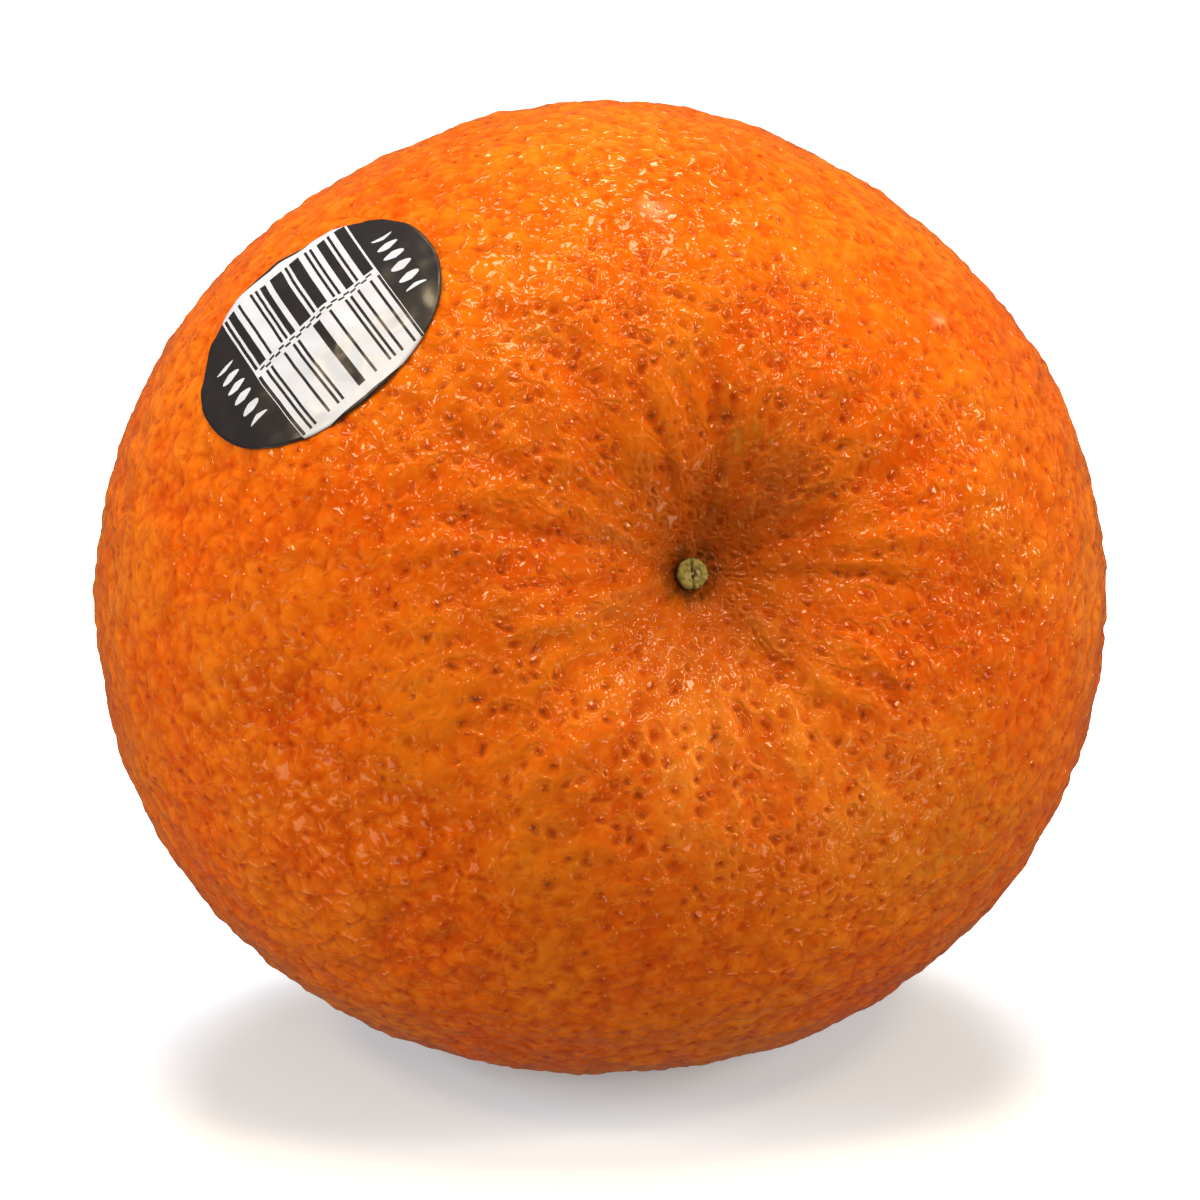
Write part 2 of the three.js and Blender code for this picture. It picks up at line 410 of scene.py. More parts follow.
def gland_fields(tree, place):
    """The peel's own patterns at a place in millimetres, for geometry and shader alike.

    wells: 1 in the middle of an oil gland's dimple and 0 between; rims: a raised ring round
    each, uneven along its way; pins: 1 in a gland's pin-hole, dark in some glands only;
    pores: small pits between; beads: convex beads of skin, from 1 on top down along a
    parabola to a crease where two meet; patches and grain: cloudy unevenness, coarse and fine.
    """
    push, length = DRIFT
    drift = add(tree, NOISE, {"Vector": place, "Scale": 1 / length, "Detail": 1.0}, out="Color")
    place = add(
        tree, "ShaderNodeVectorMath", {0: drift, 1: (push,) * 3, 2: place},
        operation="MULTIPLY_ADD",
    )
    glands = add(tree, CELLS, {"Vector": place, "Scale": 1 / GLAND_SPACING})
    small = add(tree, CELLS, {"Vector": place, "Scale": 1 / PORE_SPACING})
    beads = add(tree, CELLS, {"Vector": place, "Scale": 1 / BEAD_SPACING})
    across = add(tree, MATH, {0: beads, 1: beads}, operation="MULTIPLY")
    patches = add(tree, NOISE, {"Vector": place, "Scale": 1 / PATCH_SPACING, "Detail": 1.0})
    ripple = add(tree, MATH, {0: glands, 1: 2 * math.pi / RIM_WAVE}, operation="MULTIPLY")
    ripple = add(tree, MATH, {0: ripple}, operation="COSINE")
    uneven = add(tree, MAP, {0: patches, 1: 0.35, 2: 0.65, 3: -0.2, 4: -1.6})
    pins = add(tree, MAP, {0: glands, 1: 0.06, 2: 0.17, 3: 1.0, 4: 0.0}, **S_CURVE)
    chosen = add(tree, MAP, {0: glands.node.outputs["Color"], 1: 0.45, 2: 0.65, 3: 0.25}, **S_CURVE)
    return {
        "wells": add(tree, MAP, {0: glands, 1: 0.04, 2: 0.5, 3: 1.0, 4: 0.0}, **S_CURVE),
        "rims": add(tree, MATH, {0: ripple, 1: uneven}, operation="MULTIPLY"),
        "pins": add(tree, MATH, {0: pins, 1: chosen}, operation="MULTIPLY"),
        "pores": add(tree, MAP, {0: small, 1: 0.1, 2: 0.26, 3: 1.0, 4: 0.0}, **S_CURVE),
        "beads": add(tree, MATH, {0: across, 1: -BEAD_CROWN, 2: 1.0}, operation="MULTIPLY_ADD"),
        "patches": patches,
        "grain": add(tree, NOISE, {"Vector": place, "Scale": 1 / GRAIN_SPACING, "Detail": 1.0}),
    }


def measured(points, names, build):
    """Values of texture nodes at points in millimetres, worked out by a throw-away tree.

    build(tree, place) returns a dictionary of sockets, and those named come back as arrays,
    so the mesh carries the same pattern that the material draws.
    """
    probe = mesh_object("probe", points)
    tree = bpy.data.node_groups.new("probe", "GeometryNodeTree")
    tree.interface.new_socket("In", in_out="INPUT", socket_type="NodeSocketGeometry")
    tree.interface.new_socket("Out", in_out="OUTPUT", socket_type="NodeSocketGeometry")
    start, end = tree.nodes.new("NodeGroupInput"), tree.nodes.new("NodeGroupOutput")
    sockets = build(tree, add(tree, "GeometryNodeInputPosition"))
    geometry = start.outputs[0]
    for name in names:
        inputs = {"Geometry": geometry, "Name": name, "Value": sockets[name]}
        geometry = add(tree, "GeometryNodeStoreNamedAttribute", inputs)
    tree.links.new(geometry, end.inputs[0])
    probe.modifiers.new("probe", "NODES").node_group = tree
    shape = probe.evaluated_get(bpy.context.evaluated_depsgraph_get()).data
    found = {}
    for name in names:
        values = np.empty(len(points), np.float32)
        shape.attributes[name].data.foreach_get("value", values)
        found[name] = values.astype(float)
    mesh = probe.data
    bpy.data.objects.remove(probe)
    bpy.data.meshes.remove(mesh)
    bpy.data.node_groups.remove(tree)
    return found


def relief_fields(tree, place):
    """The glands' patterns with the lumps of skin that only the mesh carries."""
    fields = gland_fields(tree, place)
    for name, (size, _) in (("lumps", LUMPS), ("bumps", BUMPS)):
        fields[name] = add(tree, NOISE, {"Vector": place, "Scale": 1 / size, "Detail": 1.0})
    return fields


def wrinkle_fields(tree, place):
    """Noise for the wrinkles, at a place whose third coordinate runs out from the stem."""
    noise = {"Vector": place, "Scale": 1 / WRINKLE_SIZE, "Detail": 1.0}
    return {"wrinkles": add(tree, NOISE, noise)}


def peel_place(smooth_rind):
    """Where the peel's patterns are read: the rind, stretched round the stem axis.

    The distance from the axis grows by a bell, so the patterns there come out finer, and
    drawn out along the radius where the bell falls off.
    """
    from_axis = np.hypot(smooth_rind[:, 0], smooth_rind[:, 1])
    stretch = 1 + STEM_FINENESS * bell(from_axis, STEM_REACH) * (smooth_rind[:, 2] > 0)
    return smooth_rind * np.stack([stretch, stretch, np.ones_like(stretch)], -1)


def marks(smooth_rind, places):
    """The sum of bells round some places of the skin, by the angle from each."""
    direction = unit(smooth_rind)
    total = np.zeros(len(direction))
    for from_stem, around, width, strength in places:
        angle = np.arccos(np.clip(direction @ on_sphere(from_stem, around), -1, 1))
        total += strength * bell(np.degrees(angle), width)
    return total


def skin_relief(smooth_rind):
    """Heights of the skin over the smooth rind: the coarse part and the glands' part.

    Coarse: soft lumps and bumps, and wrinkles that run out from the button, less the dents.
    Glands: dimples on the shoulder that give way to raised beads of skin towards the
    fruit's equator. The wrinkles' noise comes back as well.
    """
    around = np.arctan2(smooth_rind[:, 1], smooth_rind[:, 0])
    from_axis = np.hypot(smooth_rind[:, 0], smooth_rind[:, 1])
    stem_side = smooth_rind[:, 2] > 0
    names = ("wells", "beads", "lumps", "bumps")
    found = measured(peel_place(smooth_rind), names, relief_fields)
    ring, climb = WRINKLE_TUBE
    tube = np.stack([ring * np.cos(around), ring * np.sin(around), climb * from_axis], -1)
    wrinkles = measured(tube, ("wrinkles",), wrinkle_fields)["wrinkles"]
    shoulder_at, shoulder_width = WRINKLE_SHOULDER
    shoulder = bell(from_axis - shoulder_at, shoulder_width) * smooth(*WRINKLE_START, from_axis)
    calm = 1 - CALM[0] * bell(from_axis, CALM[1]) * stem_side
    coarse = (
        LUMPS[1] * (found["lumps"] - 0.5)
        + BUMPS[1] * (found["bumps"] - 0.5)
        + WRINKLE_DEPTH * shoulder * stem_side * (wrinkles - 0.5)
        - marks(smooth_rind, DENTS)
    )
    beaded = np.where(stem_side, smooth(*BEADED, from_axis), 1.0)
    dimpled = 1 - (1 - DIMPLES_AMONG_BEADS) * beaded
    glands = BEAD_HEIGHT * beaded * found["beads"] - GLAND_DEPTH * dimpled * found["wells"]
    return coarse * calm, glands * calm, wrinkles


# ---------------------------------------------------------------- label frame

def label_axes():
    """The label's middle direction, its long direction and its short one, as unit rows."""
    middle = on_sphere(*LABEL_PLACE)
    ring = unit(np.cross(STEM_AXIS, middle))
    roll = math.radians(LABEL_ROLL)
    long = math.cos(roll) * ring + math.sin(roll) * np.cross(middle, ring)
    return middle, long, np.cross(middle, long)


LABEL_MIDDLE, LABEL_LONG, LABEL_SHORT = label_axes()
LABEL_RADIUS = float(np.linalg.norm(rind(LABEL_MIDDLE[None])[0]))


def on_label(long, short):
    """The direction of a place on the label, given in millimetres from its middle."""
    bend = np.hypot(long, short) / LABEL_RADIUS
    share = np.where(bend > 0, np.sin(bend) / np.maximum(bend, 1e-9), 1.0) / LABEL_RADIUS
    return (
        np.cos(bend)[..., None] * LABEL_MIDDLE
        + (long * share)[..., None] * LABEL_LONG
        + (short * share)[..., None] * LABEL_SHORT
    )


def label_share(direction):
    """How far out of the label's oval a direction lies: 0 in its middle, 1 at its edge."""
    bend = np.arccos(np.clip(direction @ LABEL_MIDDLE, -1, 1))
    size = bend * LABEL_RADIUS / np.maximum(np.sin(bend), 1e-9)
    long = direction @ LABEL_LONG * size / LABEL_HALF[0]
    short = direction @ LABEL_SHORT * size / LABEL_HALF[1]
    return superellipse(long, short, LABEL_FULLNESS)


# ---------------------------------------------------------------- the fruit

def make_fruit():
    """The rind: a ball of directions moved out to the smooth shape, then the relief.

    The relief goes along the normal, and its glands fade under the label. Then the lowest
    rind is pressed flat: within the flat's softness of the floor, a height above it becomes
    an exponential curve of that height.
    """
    ball, faces = cube_directions(PATCH_CELLS)
    direction = unit(ball + STEM_CROWDING * STEM_AXIS)
    smooth_rind = rind(direction)
    coarse, glands, wrinkles = skin_relief(smooth_rind)
    covered = 1 - smooth(0.95, 1.05, label_share(direction))
    height = coarse + (1 - LABEL_PRESS * covered) * glands
    points = placed(smooth_rind + rind_normal(direction) * height[:, None])
    soft = FLAT_SOFTNESS * MM
    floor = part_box("fruit")[0].z
    above = points[:, 2] - floor
    pressed = soft * np.exp(np.minimum(above / soft - 1, 0))
    points[:, 2] = floor + np.where(above > soft, above, pressed)
    points[:, 2] -= points[:, 2].min() - floor
    fruit = mesh_object("mandarin_rind", points, faces)
    place = fruit.data.attributes.new("peel_place", "FLOAT_VECTOR", "POINT")
    place.data.foreach_set("vector", peel_place(smooth_rind).astype(np.float32).ravel())
    from_axis = np.hypot(smooth_rind[:, 0], smooth_rind[:, 1])
    far_off = 99.0  # the blossom half has none of the stem's colours
    add_attribute(fruit, "from_axis", np.where(smooth_rind[:, 2] > 0, from_axis, far_off))
    add_attribute(fruit, "skin_height", height)
    add_attribute(fruit, "rays", wrinkles)
    for name, places in SKIN_MARKS.items():
        add_attribute(fruit, name, marks(smooth_rind, places))
    return fruit


def peel_material():
    """Waxed mandarin peel: matt orange skin under a thin clear wax, buffed after washing.

    The oil glands show as darker, redder dimples with pin-holes, and the skin between them
    is yellower. The wax follows every bead and dimple, so a lamp is mirrored as many small
    sharp glints, and the matt skin under it, a little smoother, carries the colour. That
    colour also holds painted light and shade: paler bead tops and wrinkle ridges, redder low
    skin and bead creases, and a hollow that is darker towards the button and on its upper
    wall and paler on its lower wall.
    """
    material, tree = new_material("waxed_mandarin_peel")
    place = add(tree, "ShaderNodeAttribute", attribute_name="peel_place", out="Vector")
    from_axis, skin, rays = (
        add(tree, "ShaderNodeAttribute", attribute_name=name, out="Fac")
        for name in ("from_axis", "skin_height", "rays")
    )
    mark = {
        name: add(tree, "ShaderNodeAttribute", attribute_name=name, out="Fac")
        for name in SKIN_MARKS
    }
    fields = gland_fields(tree, place)

    beaded = add(tree, MAP, {0: from_axis, 1: BEADED[0], 2: BEADED[1]}, **S_CURVE)
    dimpled = add(tree, MATH, {0: 1.0, 1: beaded}, operation="SUBTRACT")
    pitted = add(tree, MAP, {0: beaded, 3: 1.0, 4: 0.45})
    clouds = add(tree, NOISE, {"Vector": place, "Scale": 1 / CLOUD_SPACING, "Detail": 3.0})
    near_button = add(tree, MAP, {0: from_axis, 1: 1.1, 2: 2.9, 3: 0.7, 4: 0.0}, **S_CURVE)
    streaks = add(tree, MAP, {0: rays, 1: 0.4, 2: 0.56, 3: 1.0, 4: 0.4}, **S_CURVE)
    # painted light on the ridges of the wrinkles, used on the hollow's wall
    painted_ridge_light = add(tree, MAP, {0: rays, 1: 0.48, 2: 0.66}, **S_CURVE)
    on_wall = add(tree, MAP, {0: from_axis, 1: 3.0, 2: 11.0, 3: 0.3, 4: 0.0}, **S_CURVE)
    aged = add(tree, MAP, {0: clouds, 1: 0.5, 2: 0.62}, **S_CURVE)
    mottle = add(tree, MAP, {0: fields["patches"], 1: 0.35, 2: 0.6, 3: 0.4, 4: 1.3})
    pin_colours = {0: aged, 6: linear("#8A3002"), 7: linear("#6E5222")}
    pin_colour = add(tree, "ShaderNodeMix", pin_colours, **COLOURS)
    # painted shade in the creases between the beads, and painted light on their tops
    painted_bead_shade = add(tree, MAP, {0: fields["beads"], 1: 0.25, 2: 0.75, 3: 1.0, 4: 0.0}, **S_CURVE)
    painted_bead_light = add(tree, MAP, {0: fields["beads"], 1: 0.6, 2: 1.0, 3: 0.0, 4: 0.16}, **S_CURVE)
    painted_bead_shade = add(tree, MATH, {0: painted_bead_shade, 1: beaded}, operation="MULTIPLY")
    layers = (
        # broad clouds of a yellower orange
        (add(tree, MAP, {0: clouds, 1: 0.3, 2: 0.7}, **S_CURVE), linear("#E2700A")),
        # soft marks: where the skin is paler, with painted light on the hollow's lower wall below
        # the button; darker in two dents, with painted shade on the hollow's upper wall; still a
        # little green or waxy white; and the brown scar of the flower
        (add(tree, MATH, {0: mark["pale"], 1: mottle}, operation="MULTIPLY"), linear("#F08E2A")),
        (add(tree, MATH, {0: mark["dark"], 1: mottle}, operation="MULTIPLY"), linear("#B03C00")),
        (add(tree, MATH, {0: mark["olive"], 1: mottle}, operation="MULTIPLY"), linear("#B0801C")),
        (add(tree, MATH, {0: mark["wax"], 1: mottle}, operation="MULTIPLY"), linear("#F4D0A0")),
        (mark["scar"], linear("#5E3A12")),
        # painted shade: low skin between the lumps is redder and darker
        (add(tree, MAP, {0: skin, 1: -0.3, 2: 0.12, 3: 0.5, 4: 0.0}, **S_CURVE), linear("#C84200")),
        # thin skin: paler patches; painted shade, redder, in the creases between the beads and
        # painted light on their tops; mottling
        (
            add(tree, MAP, {0: fields["patches"], 1: 0.5, 2: 0.7, 4: 0.35}, **S_CURVE),
            linear("#EA8018"),
        ),
        (add(tree, MATH, {0: painted_bead_shade, 1: 0.3}, operation="MULTIPLY"), linear("#B84000")),
        (add(tree, MATH, {0: painted_bead_light, 1: beaded}, operation="MULTIPLY"), linear("#F28A1E")),
        (add(tree, MAP, {0: fields["grain"], 1: 0.5, 2: 0.7, 4: 0.2}, **S_CURVE), linear("#F49434")),
        # oil glands: a deeper, redder well, and brown small pores between
        (add(tree, MATH, {0: fields["wells"], 1: 0.6}, operation="MULTIPLY"), linear("#BC3800")),
        (add(tree, MATH, {0: fields["pores"], 1: 0.35}, operation="MULTIPLY"), linear("#A44408")),
        # their pin-holes, brown in some places and greyish in others
        (add(tree, MATH, {0: fields["pins"], 1: 0.7}, operation="MULTIPLY"), pin_colour),
        # painted light on the wrinkles' ridges down the hollow's wall; painted shade, the hollow
        # darker towards its floor; and dark streaks at the button
        (add(tree, MATH, {0: painted_ridge_light, 1: on_wall}, operation="MULTIPLY"), linear("#EC9440")),
        (
            add(tree, MAP, {0: from_axis, 1: 2.0, 2: 12.0, 3: 0.55, 4: 0.0}, **S_CURVE),
            linear("#A44404"),
        ),
        (add(tree, MATH, {0: streaks, 1: near_button}, operation="MULTIPLY"), linear("#56340A")),
    )
    base = linear("#DE5800")
    for share, colour in layers:
        base = add(tree, "ShaderNodeMix", {0: share, 6: base, 7: colour}, **COLOURS)

    # The fine relief in millimetres: pattern, height, and where it is.
    height = 0.0
    depths = (
        ("wells", -0.18, pitted), ("rims", 0.06, dimpled), ("beads", 0.3, beaded),
        ("pores", -0.05, 1.0), ("grain", 0.03, 1.0),
    )
    for name, depth, share in depths:
        part = add(tree, MATH, {0: fields[name], 1: share}, operation="MULTIPLY")
        height = add(tree, MATH, {0: part, 1: depth, 2: height}, operation="MULTIPLY_ADD")
    bump = add(tree, "ShaderNodeBump", {"Height": height, "Strength": 1.0, "Distance": MM})
    plain = add(tree, "ShaderNodeNewGeometry", out="Normal")
    soft = add(
        tree, "ShaderNodeVectorMath", {0: bump, 1: (SKIN_BUMP,) * 3, 2: plain},
        operation="MULTIPLY_ADD",
    )
    soft = add(tree, "ShaderNodeVectorMath", {0: soft}, operation="NORMALIZE")

    surface = add(
        tree, "ShaderNodeBsdfPrincipled",
        {
            "Base Color": base, "Roughness": 0.5, "IOR": 1.45, "Specular IOR Level": 0.0,
            "Normal": soft,
            "Coat Weight": 0.85, "Coat Roughness": 0.045, "Coat IOR": 1.45,
            "Coat Normal": bump,
        },
    )
    add(tree, "ShaderNodeOutputMaterial", {"Surface": surface})
    return material


fruit = make_fruit()
fruit.data.materials.append(peel_material())
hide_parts("fruit")
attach(fruit, "root")


# ---------------------------------------------------------------- the label

def make_label():
    """The label: a disc of rings stretched to an oval, laid along the rind's normals.

    Its height above the rind is even, with one small lifted crease at the upper edge.
    """
    rings, sides = 40, 160
    share, turn = np.meshgrid(
        np.linspace(0, 1, rings + 1)[1:], np.linspace(0, 2 * math.pi, sides, endpoint=False),
        indexing="ij",
    )
    reach = (share / superellipse(np.cos(turn), np.sin(turn), LABEL_FULLNESS)).ravel()
    long = np.concatenate([[0.0], reach * np.cos(turn).ravel() * LABEL_HALF[0]])
    short = np.concatenate([[0.0], reach * np.sin(turn).ravel() * LABEL_HALF[1]])
    direction = on_label(long, short)
    along = (long - CREASE_AT) / CREASE_REACH[0]
    below = (short - LABEL_HALF[1]) / CREASE_REACH[1]
    point, normal = rind(direction), rind_normal(direction)
    lift = LABEL_LIFT + CREASE_HEIGHT * bell(np.hypot(along, below), 1) + skin_relief(point)[0]
    under = point + normal * lift[:, None]
    top = under + normal * LABEL_THICKNESS
    body = grid_faces(rings, sides, wrap=True) + 1
    centre = fan_faces(0, 1 + np.arange(sides))
    edge = 1 + (rings - 1) * sides + np.arange(sides)
    after = np.roll(edge, -1)
    count = len(long)
    rim = np.stack([edge + count, edge, after, after + count], -1)
    label = mesh_object(
        "fruit_label", placed(np.concatenate([under, top])),
        body[:, ::-1] + count, centre + count, body, centre[:, ::-1], rim,
    )
    add_attribute(label, "label_long", np.concatenate([long, long]))
    add_attribute(label, "label_short", np.concatenate([short, short]))
    return label


def bar_row(tree, long, middle, widths):
    """Bars across the label: 1 on ink. The widths are bar, gap, bar and so on in units."""
    edges = (np.cumsum((0, *widths)) * BAR_UNIT).tolist()
    whole = edges[-1]
    share = add(tree, MAP, {0: long, 1: middle - whole / 2, 2: middle + whole / 2})
    row = add(tree, "ShaderNodeValToRGB", {0: share})
    bands = row.node.color_ramp
    bands.interpolation = "CONSTANT"
    for i, edge in enumerate(edges):
        stop = bands.elements[i] if i < 2 else bands.elements.new(0.99)
        stop.position = edge / whole
        stop.color = (*[float(i % 2 == 0)] * 3, 1.0)
    within = add(tree, MATH, {0: long, 1: middle, 2: whole / 2}, operation="COMPARE")
    return add(tree, MATH, {0: row, 1: within}, operation="MULTIPLY")


def label_material():
    """Coated label paper under a clear film: sharp black print, a smooth soft gloss that
    is a little wavy, as a thin film is on a lumpy fruit.

    The print is two rows of plain bars on a white panel with a stepped line between them,
    and a row of small leaf shapes on each dark end.
    """
    material, tree = new_material("film_coated_label_paper")
    long = add(tree, "ShaderNodeAttribute", attribute_name="label_long", out="Fac")
    short = add(tree, "ShaderNodeAttribute", attribute_name="label_short", out="Fac")
    middle = PANEL_MIDDLE

    def band(value, centre, half, both=1.0):
        """1 where a value is within half of centre, times another mask."""
        inside = add(tree, MATH, {0: value, 1: centre, 2: half}, operation="COMPARE")
        return add(tree, MATH, {0: inside, 1: both}, operation="MULTIPLY")

    panel = band(long, middle, PANEL_HALF[0], band(short, 0.0, PANEL_HALF[1]))
    step_height, step_turns = LINE_STEP
    step = add(tree, MATH, {0: long, 1: step_turns}, operation="MULTIPLY")
    step = add(tree, MATH, {0: step}, operation="SINE")
    step = add(tree, MATH, {0: step}, operation="SIGN")
    step = add(tree, MATH, {0: step, 1: step_height}, operation="MULTIPLY")
    ink = band(short, step, LINE_HALF[1], band(long, middle, LINE_HALF[0]))
    row_middle, row_half = BAR_ROW
    for centre, widths in ((row_middle, UPPER_BARS), (-row_middle, LOWER_BARS)):
        row = band(short, centre, row_half, bar_row(tree, long, middle, widths))
        ink = add(tree, MATH, {0: ink, 1: row}, operation="MAXIMUM")

    # A leaf is where end + slot^2 < 1, with end the distance along it from its middle and
    # slot the distance across it, each as a share of its half size.
    end = add(tree, MATH, {0: long, 1: middle}, operation="SUBTRACT")
    end = add(tree, MATH, {0: end}, operation="ABSOLUTE")
    end = add(tree, MATH, {0: end, 1: LEAF_AT}, operation="SUBTRACT")
    end = add(tree, MATH, {0: end}, operation="ABSOLUTE")
    end = add(tree, MATH, {0: end, 1: LEAF_HALF[0]}, operation="DIVIDE")
    slot = add(tree, MATH, {0: short, 1: LEAF_PITCH / 2}, operation="ADD")
    slot = add(tree, MATH, {0: slot, 1: LEAF_PITCH / 2}, operation="PINGPONG")
    slot = add(tree, MATH, {0: slot, 1: LEAF_HALF[1]}, operation="DIVIDE")
    leaf = add(tree, MATH, {0: slot, 1: slot, 2: end}, operation="MULTIPLY_ADD")
    leaf = add(tree, MATH, {0: leaf, 1: 1.0}, operation="LESS_THAN")
    leaves = band(short, 0.0, LEAF_ROW, leaf)

    white = add(tree, MATH, {0: panel, 1: ink}, operation="SUBTRACT", use_clamp=True)
    white = add(tree, MATH, {0: white, 1: leaves}, operation="MAXIMUM")
    inks = {0: white, 6: linear("#262324"), 7: linear("#D0D3D9")}
    place = add(tree, "ShaderNodeCombineXYZ", {0: long, 1: short})
    wave_size, wave_depth = FILM_WAVES
    waves = add(tree, NOISE, {"Vector": place, "Scale": 1 / wave_size, "Detail": 2.0})
    film = add(tree, "ShaderNodeBump", {"Height": waves, "Distance": wave_depth * MM})
    surface = add(
        tree, "ShaderNodeBsdfPrincipled",
        {
            "Base Color": add(tree, "ShaderNodeMix", inks, **COLOURS),
            "Roughness": 0.4, "Coat Weight": 0.45, "Coat Roughness": 0.24, "Coat Normal": film,
        },
    )
    add(tree, "ShaderNodeOutputMaterial", {"Surface": surface})
    return material


label = make_label()
label.data.materials.append(label_material())
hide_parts("sticker")
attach(label, "root")


# ---------------------------------------------------------------- the calyx button

def button_height(x, y):
    """The dried button's top over the stem axis' rind, at a place across it.

    A low dome, falling off as a parabola, less a pith hole near the middle and a wavy split
    from edge to edge, plus two ends of fibre that stand up in the hole and fine ribs at the
    rim.
    """
    distance = np.hypot(x, y)
    dome = BUTTON_TOP - 0.12 * (distance / BUTTON_RADIUS) ** 2
    hole_depth, hole_at, hole_radius = PITH_HOLE
    hole = hole_depth * bell(np.hypot(x - hole_at, y), hole_radius)
    split_depth, split_half = SPLIT
    split = split_depth * bell(x + 0.02 + 0.03 * np.sin(4 * y), split_half)
    fibre_height, fibre_radius = FIBRE
    fibres = sum(fibre_height * bell(np.hypot(x - at, y * 0.7), fibre_radius) for at in FIBRE_ENDS)
    ribs = 0.025 * np.cos(13 * np.arctan2(y, x)) * smooth(0.4, 1.0, distance)
    return dome - hole - split + fibres + ribs


def make_button():
    """The calyx button: a grid of rings by turns, with a slightly lobed rim.

    The last rings roll over the rim on a quarter circle and then go straight down into the
    rind, where a flat fan of triangles closes the underside.
    """
    rings, sides, roll = 40, 96, 8
    turn = np.linspace(0, 2 * math.pi, sides, endpoint=False)
    rim = BUTTON_RADIUS * (1 + 0.025 * np.cos(3 * turn + 0.6) + 0.018 * np.cos(7 * turn + 2.0))
    inner = rim - BUTTON_EDGE
    flat = np.linspace(0, 1, rings + 1)[1:, None] * inner
    bend = np.linspace(0, math.pi / 2, roll + 1)[1:, None]
    reach = np.concatenate([flat, inner + BUTTON_EDGE * np.sin(bend), rim[None]])
    drop = np.zeros((len(reach), 1))
    drop[rings:-1] = BUTTON_EDGE * (1 - np.cos(bend))
    within = np.minimum(reach, inner)
    z = button_height(within * np.cos(turn), within * np.sin(turn)) - drop
    z[-1] = BUTTON_UNDERSIDE
    across = np.stack([reach * np.cos(turn), reach * np.sin(turn), z], -1).reshape(-1, 3)
    middle = np.array([[0.0, 0.0, button_height(0.0, 0.0)], [0.0, 0.0, BUTTON_UNDERSIDE]])
    points = np.concatenate([across, middle])
    top, under = len(across), len(across) + 1
    first = np.arange(sides)
    last = len(across) - sides + first
    button = mesh_object(
        "calyx_button", placed(points + rind(STEM_AXIS[None])[0]),
        grid_faces(len(reach), sides, wrap=True)[:, ::-1],
        fan_faces(top, first), fan_faces(under, last)[:, ::-1],
    )
    add_attribute(button, "button_across", points[:, 0])
    add_attribute(button, "button_up", points[:, 1])
    add_attribute(button, "button_height", points[:, 2])
    return button


def button_material():
    """Dried calyx: woody, matt, olive turning straw on top, and dark brown wherever it lies low,
    in its cracks and down its rim: partly their own brown, partly painted shade.
    """
    material, tree = new_material("dried_woody_calyx")
    across, up, level = (
        add(tree, "ShaderNodeAttribute", attribute_name=name, out="Fac")
        for name in ("button_across", "button_up", "button_height")
    )
    place = add(tree, "ShaderNodeCombineXYZ", {0: across, 1: up, 2: level})
    grain_size, grain_depth = WOOD_GRAIN
    grain = add(tree, NOISE, {"Vector": place, "Scale": 1 / grain_size, "Detail": 3.0})
    from_pith = add(
        tree, "ShaderNodeVectorMath", {0: place, 1: PITH_MIDDLE}, out="Value",
        operation="DISTANCE",
    )
    near_pith = add(tree, MAP, {0: from_pith, 1: 0.24, 2: 0.36, 3: 1.0, 4: 0.0}, **S_CURVE)
    raised = add(tree, MAP, {0: level, 1: 0.84, 2: 0.95}, **S_CURVE)
    layers = (
        # straw-coloured fibre; dark brown the lower it lies, in the cracks and down the rim, partly
        # painted shade; and the pale ends of the pith
        (add(tree, MAP, {0: grain, 1: 0.35, 2: 0.65}, **S_CURVE), "#A8944A"),
        (add(tree, MAP, {0: level, 1: 0.72, 2: 0.98, 3: 0.85, 4: 0.0}, **S_CURVE), "#4A2E0C"),
        (add(tree, MATH, {0: raised, 1: near_pith}, operation="MULTIPLY"), "#C9A883"),
    )
    base = linear("#7A6C26")
    for share, colour in layers:
        base = add(tree, "ShaderNodeMix", {0: share, 6: base, 7: linear(colour)}, **COLOURS)
    bump = add(tree, "ShaderNodeBump", {"Height": grain, "Distance": grain_depth * MM})
    surface = add(
        tree, "ShaderNodeBsdfPrincipled", {"Base Color": base, "Roughness": 0.6, "Normal": bump}
    )
    add(tree, "ShaderNodeOutputMaterial", {"Surface": surface})
    return material


button = make_button()
button.data.materials.append(button_material())
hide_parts("stem_button")
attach(button, "root")


# ---------------------------------------------------------------- floor, lights, camera

LAMP_AIM = 0.033  # the height over the floor that every lamp looks at

# The small warm lamps that the wax mirrors: name, place, width and height, power in watts.
MIRRORED_LIGHT = "#FFE4B6"
MIRRORED_LAMPS = (
    ("overhead_softbox", (0.0, -0.1, 0.8), (0.26, 0.2), 2.5),
    ("left_softbox", (-0.54, -0.3, 0.66), (0.16, 0.14), 1.2),
    ("right_softbox", (0.86, 0.05, 0.27), (0.1, 0.24), 1.2),
    ("back_softbox", (0.1, 0.5, 0.75), (0.16, 0.09), 0.7),
    ("shoulder_softbox", (0.42, -0.3, 0.68), (0.14, 0.14), 1.1),
    ("front_softbox", (0.12, -0.75, 0.42), (0.2, 0.14), 0.55),
    ("left_low_softbox", (-0.5, -0.3, -0.3), (0.26, 0.2), 0.45),
    ("right_low_softbox", (0.5, -0.35, -0.3), (0.24, 0.16), 0.5),
)

# The larger lamps that light the matt skin and the floor and aren't mirrored.
FILL_LIGHT = "#F2F6FF"
FILL_LAMPS = (
    ("overhead_fill", (0.0, 0.35, 0.72), (0.5, 0.4), 7.6),
    ("left_fill", (-0.8, -0.2, 0.3), (0.4, 0.4), 4.5),
    ("right_fill", (0.8, -0.1, 0.3), (0.4, 0.4), 3.2),
    ("front_fill", (0.6, -0.6, 0.2), (0.4, 0.4), 1.0),
    ("left_floor_bounce", (-0.5, -0.3, -0.35), (0.4, 0.4), 1.2),
    ("right_floor_bounce", (0.5, -0.3, -0.35), (0.4, 0.4), 0.4),
)


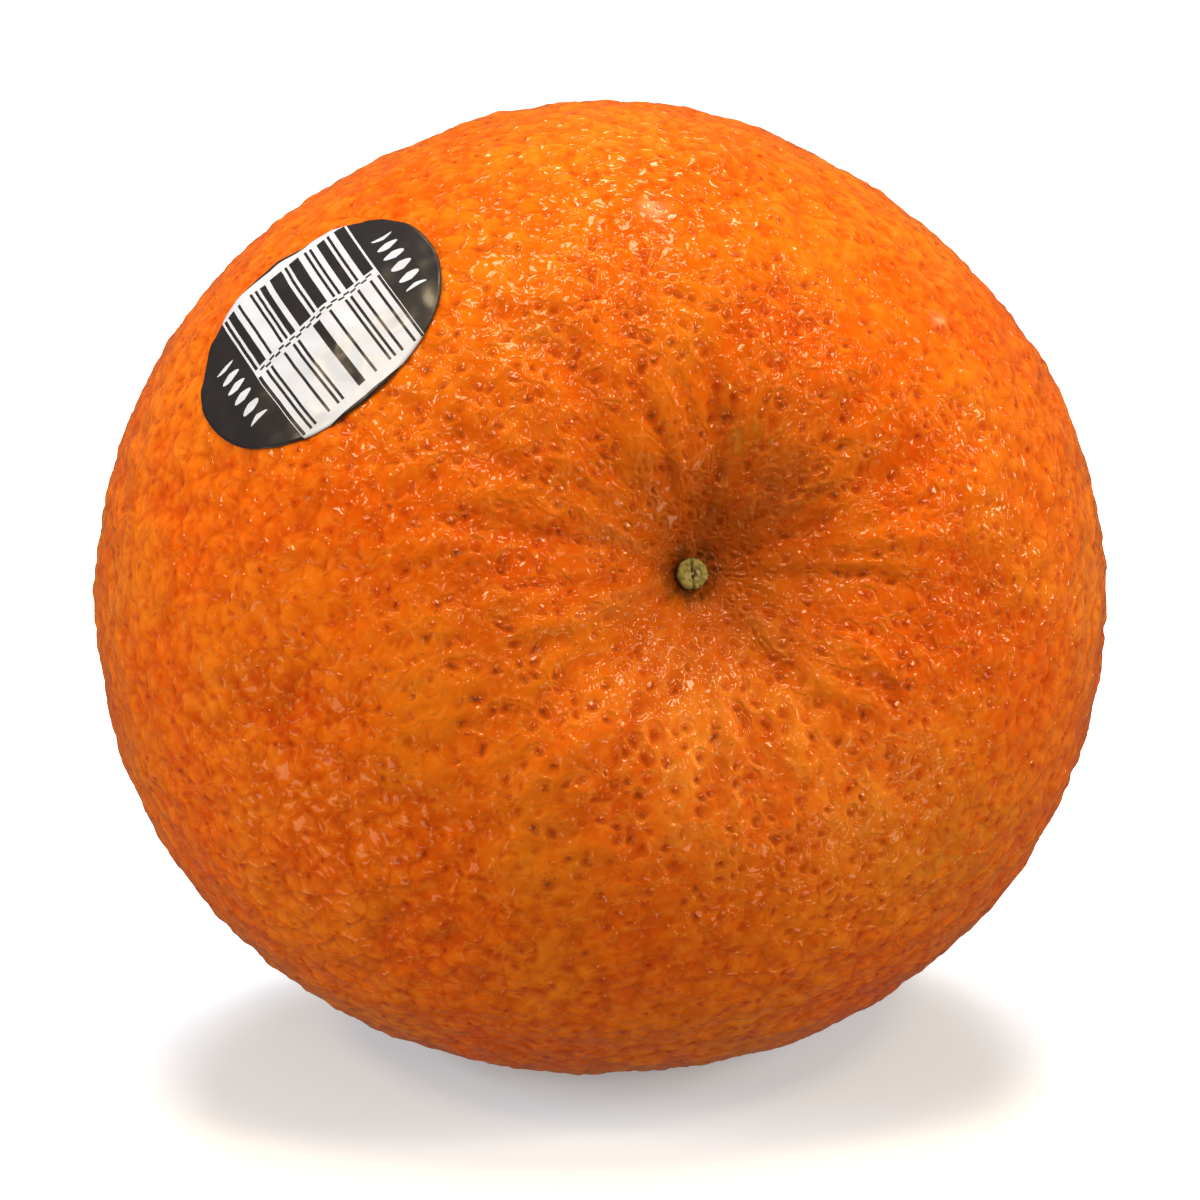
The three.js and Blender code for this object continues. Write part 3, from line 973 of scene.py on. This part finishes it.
def make_floor():
    """A wide white floor that only the camera sees.

    It takes the fruit's shadow, but sends no light to it and stops none: the lamps below
    its level stand in for the light that a floor sends back.
    """
    half = 3.0
    corners = [(-half, -half, 0), (half, -half, 0), (half, half, 0), (-half, half, 0)]
    floor = mesh_object("studio_floor", np.array(corners), np.array([(0, 1, 2, 3)]))
    material = bpy.data.materials.new("white_studio_paper")
    material.use_nodes = True
    surface = material.node_tree.nodes["Principled BSDF"]
    surface.inputs["Base Color"].default_value = linear("#F2F5FA")
    surface.inputs["Roughness"].default_value = 0.9
    surface.inputs["Specular IOR Level"].default_value = 0.0
    surface.inputs["Emission Color"].default_value = linear("#FFF2EC")
    surface.inputs["Emission Strength"].default_value = 0.32
    floor.data.materials.append(material)
    floor.visible_shadow = False
    floor.visible_glossy = False
    floor.visible_diffuse = False
    floor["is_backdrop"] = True


def look_from(thing, place, aim):
    """Puts a lamp or camera at a place, looking at a point."""
    back = unit(np.array(place, float) - np.array(aim, float))
    right = unit(np.cross(UPWARD, back))
    up = np.cross(back, right)
    matrix = np.eye(4)
    matrix[:3] = np.stack([right, up, back, np.array(place, float)], 1)
    thing.matrix_world = matrix.T


def softbox(name, place, size, power, mirrored):
    """A rectangular soft light that looks at the fruit, mirrored in its gloss or not."""
    data = bpy.data.lights.new(name, "AREA")
    data.shape = "RECTANGLE"
    data.size, data.size_y = size
    data.energy = power
    data.color = linear(MIRRORED_LIGHT if mirrored else FILL_LIGHT)[:3]
    lamp = new_object(name, data)
    look_from(lamp, place, (0.0, 0.0, LAMP_AIM))
    lamp.visible_glossy = mirrored


def make_world():
    """Pale studio walls that fill the shadows and hardly show in the gloss."""
    world = bpy.data.worlds.new("studio")
    bpy.context.scene.world = world
    world.use_nodes = True
    tree = world.node_tree
    tree.nodes.clear()
    seen = add(tree, "ShaderNodeLightPath", out="Is Camera Ray")
    glossy = seen.node.outputs["Is Glossy Ray"]
    strength = add(tree, MAP, {0: glossy, 3: 0.2, 4: 0.08})
    strength = add(tree, MATH, {0: strength, 1: seen}, operation="MAXIMUM")
    light = add(tree, "ShaderNodeBackground", {"Color": linear("#FCF8F4"), "Strength": strength})
    add(tree, "ShaderNodeOutputWorld", {"Surface": light})


def make_camera():
    """A camera a little above the fruit, in front of its stem end."""
    rise = math.radians(CAMERA_RISE)
    data = bpy.data.cameras.new("camera")
    data.lens, data.sensor_width = LENS, SENSOR
    data.clip_start, data.clip_end = 0.01, 20.0
    camera = new_object("camera", data)
    lo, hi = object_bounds()
    middle = np.array((lo + hi) / 2) + np.array(LOOK_OFF) * MM
    distance = VIEW_WIDTH * MM * LENS / SENSOR
    back = np.array([0.0, -math.cos(rise), math.sin(rise)])
    look_from(camera, middle + back * distance, middle)
    bpy.context.scene.camera = camera


make_floor()
make_world()
for name, place, size, power in MIRRORED_LAMPS:
    softbox(name, place, size, power, mirrored=True)
for name, place, size, power in FILL_LAMPS:
    softbox(name, place, size, power, mirrored=False)
make_camera()
bpy.context.scene.view_settings.view_transform = "Standard"
bpy.context.scene.cycles.diffuse_bounces = 0  # no orange glow from the fruit on the floor
